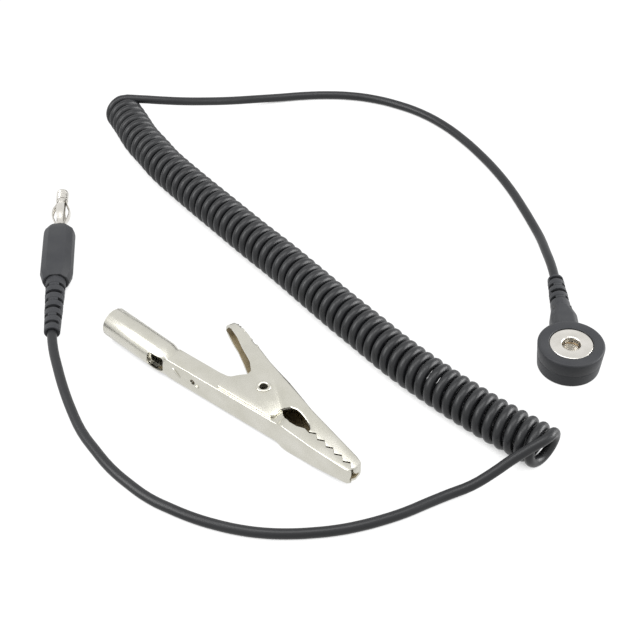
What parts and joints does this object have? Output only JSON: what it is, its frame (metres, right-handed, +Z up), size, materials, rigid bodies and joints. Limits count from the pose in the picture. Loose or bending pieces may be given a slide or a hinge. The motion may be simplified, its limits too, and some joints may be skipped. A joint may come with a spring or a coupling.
{
  "type": "coiled grounding cord with snap socket, banana plug and alligator clip",
  "caption": "Coiled grounding cord for a static-control wrist band: moulded snap socket end, banana plug end and a loose sprung alligator clip that fits the plug.",
  "frame": {"origin": "centre of the flat back of the snap head, on the surface that the object lies on", "axes": "+Z up, out of the snap socket's mouth; +Y from the snap head along its neck and strain relief; +X away from the plug and the clip"},
  "size_m": [0.1347, 0.1646, 0.0101],
  "materials": {
    "charcoal_pvc": "moulded flexible PVC, satin charcoal",
    "hard_plastic": "moulded polypropylene, plain",
    "cord_jacket": "extruded polyurethane jacket, satin",
    "nickel_plate": "nickel plated brass, satin bright",
    "phosphor_bronze": "drawn spring wire",
    "tinned_brass": "tinned, dull",
    "resistor_enamel": "dipped enamel",
    "clip_nickel": "nickel plated stamped steel, warm satin",
    "spring_steel": "bright spring wire"
  },
  "bodies": {
    "cord_set": {"snap_overmould": "charcoal_pvc", "snap_inner_tray": "hard_plastic", "snap_socket": "nickel_plate", "snap_spring": "phosphor_bronze", "snap_eyelet": "nickel_plate", "snap_terminal": "tinned_brass", "snap_resistor": "resistor_enamel", "snap_resistor_leads": "tinned_brass", "snap_splice": "tinned_brass", "snap_ferrule": "tinned_brass", "snap_conductor": "tinned_brass", "cord_snap_lead": "cord_jacket", "cord_coil": "cord_jacket", "cord_plug_lead": "cord_jacket", "plug_strain_relief": "charcoal_pvc", "plug_grip": "charcoal_pvc", "plug_inner_mould": "hard_plastic", "plug_ferrule": "tinned_brass", "plug_conductor": "tinned_brass", "plug_pin": "nickel_plate"},
    "cage": {"plug_spring_cage": "nickel_plate"},
    "clip_base": {"clip_lower_jaw": "clip_nickel", "clip_rivet": "clip_nickel", "clip_spring": "spring_steel"},
    "clip_jaw": {"clip_upper_jaw": "clip_nickel", "clip_spring_arm": "spring_steel"}
  },
  "joints": [
    {"name": "cage_spin", "type": "hinge", "parent": "cord_set", "child": "cage", "pos_m": [-0.12381, 0.05271, 0.0032], "axis": [-0.0906, 0.9959, 0], "continuous": true},
    {"name": "clip_lift", "type": "slide", "parent": "cord_set", "child": "clip_base", "axis": [0, 0, 1], "range_m": [0, 0.05]},
    {"name": "jaw_hinge", "type": "hinge", "parent": "clip_base", "child": "clip_jaw", "pos_m": [-0.0696, -0.0143, 0.00375], "axis": [0, 0, 1], "range_deg": [0, 26], "stiffness_Nm_per_rad": 0.03, "springref_deg": -28.65}
  ]
}
